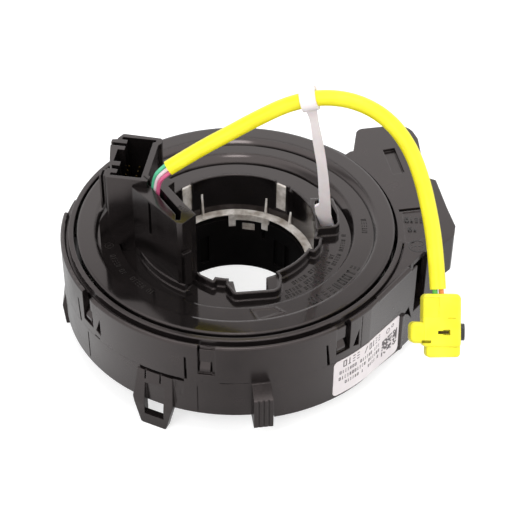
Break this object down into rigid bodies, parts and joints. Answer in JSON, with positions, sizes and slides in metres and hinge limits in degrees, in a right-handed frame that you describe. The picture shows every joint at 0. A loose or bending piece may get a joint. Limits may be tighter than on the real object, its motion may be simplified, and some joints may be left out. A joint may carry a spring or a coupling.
{
  "type": "steering clock spring",
  "caption": "Steering column clock spring: a drum housing with a turning rotor, a central bore, connector sockets and a sleeved airbag lead ending in a right-angle plug.",
  "frame": {"origin": "on the steering axis, in the plane that the housing seats on, at the lower end of the hub bore", "axes": "+Z along the steering axis towards the steering wheel; +X towards the wing with the column connectors; the steering-side connector stands at -X"},
  "size_m": [0.1254, 0.1197, 0.0945],
  "materials": {
    "housing_black": "moulded glass-filled PBT, semi-gloss",
    "rotor_black": "moulded POM, semi-gloss",
    "terminal_metal": "tinned brass",
    "ribbon_film": "laminated polyester film",
    "slide_film": "low-friction film",
    "block_plastic": "moulded",
    "label_paper": "satin printed film",
    "pale_ring": "natural moulded POM",
    "sleeve_yellow": "smooth flexible PVC tube",
    "plug_yellow": "moulded PBT",
    "lock_black": "moulded",
    "wire_red": "extruded PVC",
    "strap_white": "moulded nylon",
    "wire_green": "extruded PVC",
    "wire_white": "extruded PVC",
    "wire_pink": "extruded PVC"
  },
  "bodies": {
    "housing": {"lower_case": "housing_black", "cover_ring": "housing_black", "column_pins": "terminal_metal", "column_airbag_pins": "terminal_metal", "ribbon_cable": "ribbon_film", "lower_slide_sheet": "slide_film", "housing_cable_block": "block_plastic", "label": "label_paper"},
    "rotor": {"rotor_plate": "rotor_black", "index_ring": "pale_ring", "hub_sleeve": "rotor_black", "rotor_cable_block": "block_plastic", "connector_shroud": "rotor_black", "steering_pins": "terminal_metal", "wire_cover": "rotor_black", "cover_catch": "rotor_black", "lead_terminals": "terminal_metal", "lead_sleeve": "sleeve_yellow", "plug_housing": "plug_yellow", "plug_lock": "lock_black", "plug_terminals": "terminal_metal", "plug_wires": "wire_red", "retaining_strap": "strap_white", "wire_green": "wire_green", "wire_white": "wire_white", "wire_pink": "wire_pink"}
  },
  "joints": [
    {"name": "rotor_spin", "type": "hinge", "parent": "housing", "child": "rotor", "pos_m": [0, 0, 0], "axis": [0, 0, 1], "range_deg": [-900, 900]}
  ]
}
